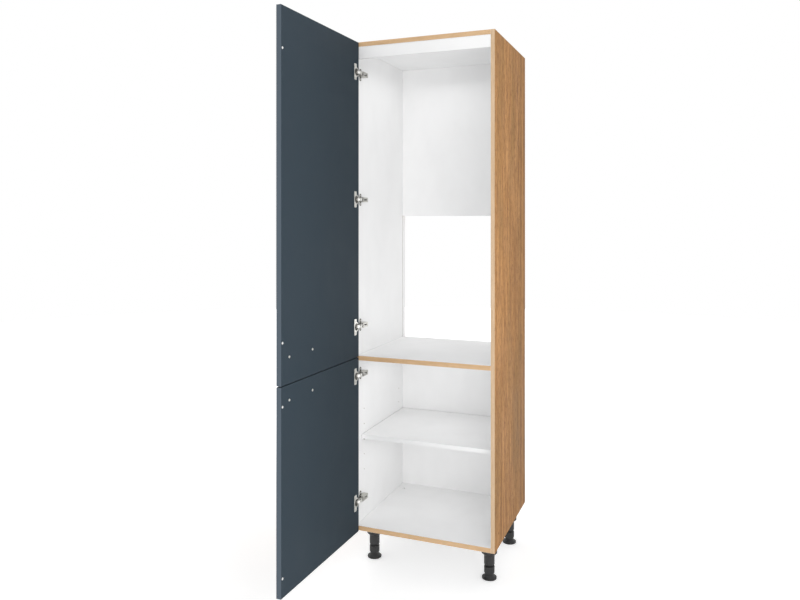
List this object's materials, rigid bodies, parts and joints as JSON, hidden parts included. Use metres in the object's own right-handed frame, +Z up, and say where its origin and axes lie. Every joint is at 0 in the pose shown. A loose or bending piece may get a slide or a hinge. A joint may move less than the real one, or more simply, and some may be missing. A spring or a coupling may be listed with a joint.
{
  "type": "fridge housing unit",
  "caption": "Tall kitchen cabinet on levelling feet with a fridge niche, a lower shelved cupboard and two slab doors on concealed hinges.",
  "frame": {"origin": "middle of the part's footprint at the pictured pose, on the floor under the feet", "axes": "+X from the hinge side to the other side, +Y from the front to the back, +Z up"},
  "size_m": [0.6328, 1.1608, 2.166],
  "materials": {
    "oak_decor_board": "satin",
    "white_board": "satin",
    "white_back_board": "matte",
    "slate_door": "satin",
    "nickel_steel": "satin",
    "handle_metal": "brushed",
    "white_plastic": "matte",
    "black_plastic": "matte",
    "beech_dowel": "matte"
  },
  "bodies": {
    "carcass": {"side_left": "oak_decor_board", "side_right": "oak_decor_board", "top_panel": "white_board", "fixed_shelf": "white_board", "bottom_panel": "white_board", "front_rail": "white_board", "back_panel_upper": "white_back_board", "back_panel_lower": "white_back_board", "shelf_pins": "nickel_steel", "carcass_dowels": "beech_dowel", "access_bushes": "white_plastic", "plate_screws": "nickel_steel", "hinge_plate_1": "nickel_steel", "hinge_plate_2": "nickel_steel", "hinge_plate_3": "nickel_steel", "hinge_plate_4": "nickel_steel", "hinge_plate_5": "nickel_steel", "hinge_arm_1": "nickel_steel", "hinge_arm_2": "nickel_steel", "hinge_arm_3": "nickel_steel", "hinge_arm_4": "nickel_steel", "hinge_arm_5": "nickel_steel", "leg_head_front_left": "black_plastic", "leg_head_front_right": "black_plastic", "leg_head_rear_left": "black_plastic", "leg_head_rear_right": "black_plastic", "leg_sleeve_front_left": "black_plastic", "leg_sleeve_front_right": "black_plastic", "leg_sleeve_rear_left": "black_plastic", "leg_sleeve_rear_right": "black_plastic"},
    "adjustable_shelf": {"adjustable_shelf": "white_board"},
    "lower_inner_links": {"inner_link_1": "nickel_steel", "inner_link_2": "nickel_steel"},
    "lower_outer_links": {"outer_link_1": "nickel_steel", "outer_link_2": "nickel_steel"},
    "lower_door": {"lower_door": "slate_door", "lower_handle": "handle_metal", "lower_handle_screws": "nickel_steel", "lower_door_buffers": "white_plastic", "hinge_cup_1": "nickel_steel", "hinge_cup_2": "nickel_steel", "lower_cup_screws": "nickel_steel"},
    "upper_inner_links": {"inner_link_3": "nickel_steel", "inner_link_4": "nickel_steel", "inner_link_5": "nickel_steel"},
    "upper_outer_links": {"outer_link_3": "nickel_steel", "outer_link_4": "nickel_steel", "outer_link_5": "nickel_steel"},
    "upper_door": {"upper_door": "slate_door", "upper_handle": "handle_metal", "upper_handle_screws": "nickel_steel", "upper_door_buffers": "white_plastic", "hinge_cup_3": "nickel_steel", "hinge_cup_4": "nickel_steel", "hinge_cup_5": "nickel_steel", "upper_cup_screws": "nickel_steel"},
    "foot_front_left": {"leg_foot_front_left": "black_plastic"},
    "foot_front_right": {"leg_foot_front_right": "black_plastic"},
    "foot_rear_left": {"leg_foot_rear_left": "black_plastic"},
    "foot_rear_right": {"leg_foot_rear_right": "black_plastic"}
  },
  "joints": [
    {"name": "lower_link_swing", "type": "hinge", "parent": "carcass", "child": "lower_inner_links", "pos_m": [-0.25256, 0.02292, 0.274], "axis": [0, 0, 1], "range_deg": [-46.66, 6.88]},
    {"name": "lower_door_swing", "type": "hinge", "parent": "lower_inner_links", "child": "lower_door", "pos_m": [-0.25895, 0.00434, 0.274], "axis": [0, 0, 1], "range_deg": [-20.39, 138.18]},
    {"name": "lower_outer_link_swing", "type": "hinge", "parent": "carcass", "child": "lower_outer_links", "pos_m": [-0.24576, 0.02402, 0.274], "axis": [0, 0, 1], "range_deg": [-27.46, 4.06]},
    {"name": "upper_link_swing", "type": "hinge", "parent": "carcass", "child": "upper_inner_links", "pos_m": [-0.25256, 0.02292, 1.516], "axis": [0, 0, 1], "range_deg": [-46.66, 6.88]},
    {"name": "upper_door_swing", "type": "hinge", "parent": "upper_inner_links", "child": "upper_door", "pos_m": [-0.25895, 0.00434, 1.516], "axis": [0, 0, 1], "range_deg": [-20.39, 138.18]},
    {"name": "upper_outer_link_swing", "type": "hinge", "parent": "carcass", "child": "upper_outer_links", "pos_m": [-0.24576, 0.02402, 1.516], "axis": [0, 0, 1], "range_deg": [-27.46, 4.06]},
    {"name": "shelf_lift", "type": "slide", "parent": "carcass", "child": "adjustable_shelf", "axis": [0, 0, 1], "range_m": [0, 0.1]},
    {"name": "foot_front_left_travel", "type": "slide", "parent": "carcass", "child": "foot_front_left", "axis": [0, 0, 1], "range_m": [-0.02, 0.007]},
    {"name": "foot_front_right_travel", "type": "slide", "parent": "carcass", "child": "foot_front_right", "axis": [0, 0, 1], "range_m": [-0.02, 0.007]},
    {"name": "foot_rear_left_travel", "type": "slide", "parent": "carcass", "child": "foot_rear_left", "axis": [0, 0, 1], "range_m": [-0.02, 0.007]},
    {"name": "foot_rear_right_travel", "type": "slide", "parent": "carcass", "child": "foot_rear_right", "axis": [0, 0, 1], "range_m": [-0.02, 0.007]}
  ],
  "couplings": [
    {"joint": "lower_door_swing", "follows": "lower_link_swing", "ratio": -2.9608},
    {"joint": "lower_outer_link_swing", "follows": "lower_link_swing", "ratio": 0.58823},
    {"joint": "upper_door_swing", "follows": "upper_link_swing", "ratio": -2.9608},
    {"joint": "upper_outer_link_swing", "follows": "upper_link_swing", "ratio": 0.58823}
  ]
}
